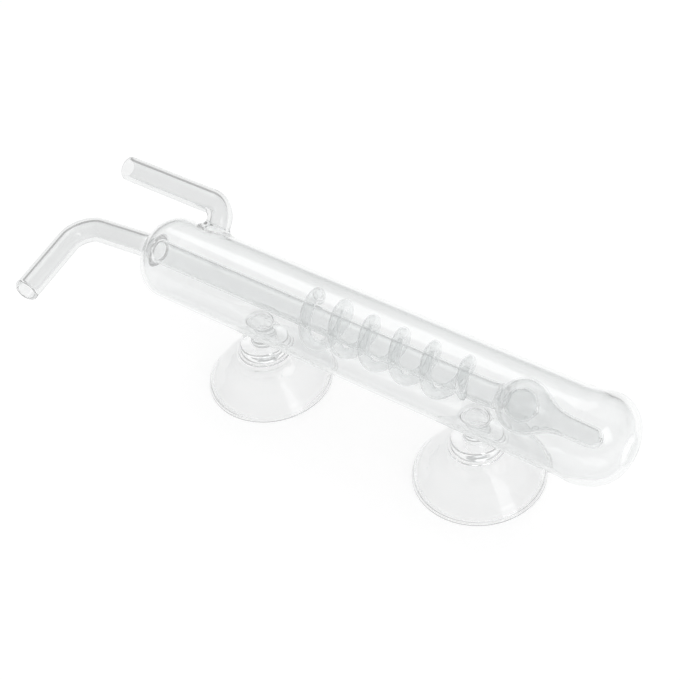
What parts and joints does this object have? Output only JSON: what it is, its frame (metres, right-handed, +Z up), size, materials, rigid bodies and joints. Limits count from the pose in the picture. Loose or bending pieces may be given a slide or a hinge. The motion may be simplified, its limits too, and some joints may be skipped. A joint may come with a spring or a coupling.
{
  "type": "jacketed spiral glass tube on suction cups",
  "caption": "Horizontal sealed glass jacket around a spiral-wound inner tube with a bulb and a fine nozzle, a bent inlet stem and a raised side arm, held on soft suction cups.",
  "frame": {"origin": "centre of the near suction cup's rim, in the plane that both cups' rims rest on", "axes": "+X along the jacket from its inlet end towards its closed domed end, +Y towards the side that the outlet arm leans to, +Z up, away from the surface that the cups hold"},
  "size_m": [0.1548, 0.0414, 0.0418],
  "materials": {
    "glass": "clear, flame-polished",
    "vinyl": "clear soft vinyl, glossy"
  },
  "bodies": {
    "glass": {"jacket_tube": "glass", "inlet_shoulder": "glass", "closed_end": "glass", "ring_seal": "glass", "inlet_stem": "glass", "arm_seal": "glass", "outlet_arm": "glass", "inner_tube": "glass", "spiral": "glass", "bulb": "glass", "nozzle": "glass", "near_peg": "glass", "far_peg": "glass"},
    "near_cup": {"near_cup": "vinyl"},
    "far_cup": {"far_cup": "vinyl"}
  },
  "joints": [
    {"name": "near_cup_swivel", "type": "hinge", "parent": "glass", "child": "near_cup", "pos_m": [0, 0, 0.01], "axis": [0, 0, 1], "continuous": true},
    {"name": "far_cup_swivel", "type": "hinge", "parent": "glass", "child": "far_cup", "pos_m": [0.06, 0, 0.01], "axis": [0, 0, 1], "continuous": true}
  ]
}
